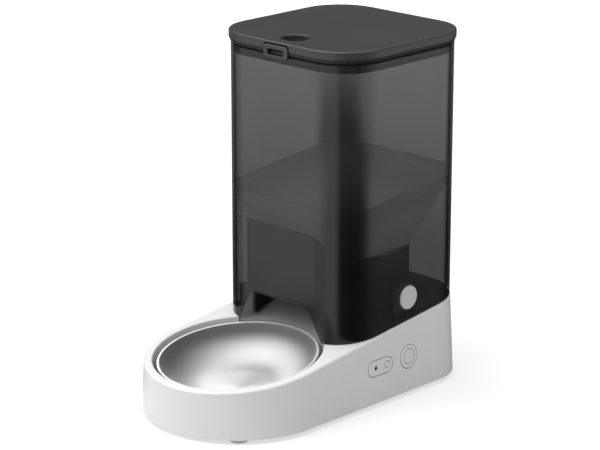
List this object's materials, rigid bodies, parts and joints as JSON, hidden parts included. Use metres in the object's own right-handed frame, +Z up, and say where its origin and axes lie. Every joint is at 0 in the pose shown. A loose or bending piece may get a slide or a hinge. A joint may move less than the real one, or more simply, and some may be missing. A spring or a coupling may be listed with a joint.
{
  "type": "automatic pet feeder",
  "caption": "Gravity pet feeder: rounded white base with a sloping deck, a lift-out steel bowl, a smoky tank with a portion wheel and chute, and a hinged dark lid with a press latch.",
  "frame": {"origin": "on the floor, under the middle of the footprint", "axes": "+Z up; -Y to the front, where the bowl is; +X to the side with the control buttons"},
  "size_m": [0.165, 0.29, 0.31],
  "materials": {
    "white_abs": "white moulded ABS, fine satin",
    "grey_rubber": "mid grey rubber",
    "light_grey": "light grey moulded plastic, satin",
    "dark_plastic": "dark grey moulded plastic, fine satin",
    "smoky_tank": "smoky see-through plastic, glossy",
    "satin_steel": "satin stainless steel with a bright rolled rim",
    "bright_steel": "plated steel",
    "brass": "machined brass",
    "nylon": "natural nylon",
    "soft_silicone": "dark soft silicone",
    "circuit_board": "green circuit board",
    "lens_black": "black lamp lens, unlit"
  },
  "bodies": {
    "base": {"base_shell": "white_abs", "base_bottom": "white_abs", "foot_front_left": "grey_rubber", "foot_front_right": "grey_rubber", "foot_rear_left": "grey_rubber", "foot_rear_right": "grey_rubber", "contact_front": "bright_steel", "contact_rear": "bright_steel", "main_board": "circuit_board", "control_board": "circuit_board", "control_plate": "white_abs", "status_lens": "lens_black", "power_inlet": "dark_plastic", "gearbox_bracket": "dark_plastic", "gear_motor": "bright_steel", "spindle_bush": "brass"},
    "bowl_body": {"bowl": "satin_steel"},
    "feed_button_body": {"feed_button": "white_abs"},
    "setup_button_body": {"setup_button": "white_abs"},
    "battery_cover_body": {"battery_cover": "white_abs"},
    "drive": {"drive_gear": "nylon", "drive_spindle": "bright_steel"},
    "pinion": {"motor_pinion": "brass"},
    "tank": {"tank_shell": "smoky_tank", "tank_floor": "dark_plastic", "outlet_chute": "dark_plastic", "hopper_funnel": "dark_plastic", "hinge_pin_left": "bright_steel", "hinge_pin_right": "bright_steel"},
    "release_right": {"release_button_right": "light_grey"},
    "release_left": {"release_button_left": "light_grey"},
    "wheel": {"rotor": "nylon", "stirrer": "soft_silicone"},
    "lid": {"lid_cover": "dark_plastic", "lid_liner": "dark_plastic", "lid_seal": "soft_silicone", "latch_pin": "bright_steel", "latch_spring": "bright_steel"},
    "lid_button_body": {"lid_button": "dark_plastic"},
    "latch_body": {"latch": "dark_plastic"},
    "desiccant": {"desiccant_box": "white_abs", "desiccant_cap": "white_abs"}
  },
  "joints": [
    {"name": "bowl_lift", "type": "slide", "parent": "base", "child": "bowl_body", "axis": [0, -0.597, 0.8022], "range_m": [0, 0.06]},
    {"name": "feed_button_press", "type": "slide", "parent": "base", "child": "feed_button_body", "axis": [-0.9988, 0, -0.048], "range_m": [0, 0.0012], "stiffness_N_per_m": 400, "springref_m": -0.0005},
    {"name": "setup_button_press", "type": "slide", "parent": "base", "child": "setup_button_body", "axis": [-0.9988, 0, -0.048], "range_m": [0, 0.0006], "stiffness_N_per_m": 400, "springref_m": -0.0005},
    {"name": "battery_cover_slide", "type": "slide", "parent": "base", "child": "battery_cover_body", "axis": [0, 1, 0], "range_m": [0, 0.01]},
    {"name": "drive_spin", "type": "hinge", "parent": "base", "child": "drive", "pos_m": [0, 0.0624, 0.0475], "axis": [0, 0, 1], "continuous": true},
    {"name": "pinion_spin", "type": "hinge", "parent": "base", "child": "pinion", "pos_m": [-0.02553, 0.03687, 0.0475], "axis": [0, 0, 1], "continuous": true},
    {"name": "tank_lift", "type": "slide", "parent": "base", "child": "tank", "axis": [0, 0, 1], "range_m": [0, 0.08]},
    {"name": "release_right_press", "type": "slide", "parent": "tank", "child": "release_right", "axis": [-1, 0, 0], "range_m": [0, 0.003], "stiffness_N_per_m": 400, "springref_m": -0.001},
    {"name": "release_left_press", "type": "slide", "parent": "tank", "child": "release_left", "axis": [1, 0, 0], "range_m": [0, 0.003], "stiffness_N_per_m": 400, "springref_m": -0.001},
    {"name": "rotor_spin", "type": "hinge", "parent": "tank", "child": "wheel", "pos_m": [0, 0.0624, 0.106], "axis": [0, 0, 1], "continuous": true},
    {"name": "lid_hinge", "type": "hinge", "parent": "tank", "child": "lid", "pos_m": [0, 0.1396, 0.3005], "axis": [-1, 0, 0], "range_deg": [0, 100]},
    {"name": "lid_button_press", "type": "slide", "parent": "lid", "child": "lid_button_body", "axis": [0, 0, -1], "range_m": [0, 0.0025], "stiffness_N_per_m": 400, "springref_m": -0.001},
    {"name": "latch_swing", "type": "hinge", "parent": "lid", "child": "latch_body", "pos_m": [0, -0.0124, 0.3048], "axis": [-1, 0, 0], "range_deg": [0, 8], "deforming": ["latch_spring"]},
    {"name": "desiccant_twist", "type": "hinge", "parent": "lid", "child": "desiccant", "pos_m": [0, 0.072, 0.29], "axis": [0, 0, 1], "range_deg": [0, 45]}
  ],
  "couplings": [
    {"joint": "pinion_spin", "follows": "drive_spin", "ratio": -3},
    {"joint": "rotor_spin", "follows": "drive_spin", "ratio": 1},
    {"joint": "latch_swing", "follows": "lid_button_press", "rad_per_m": 55.8}
  ]
}
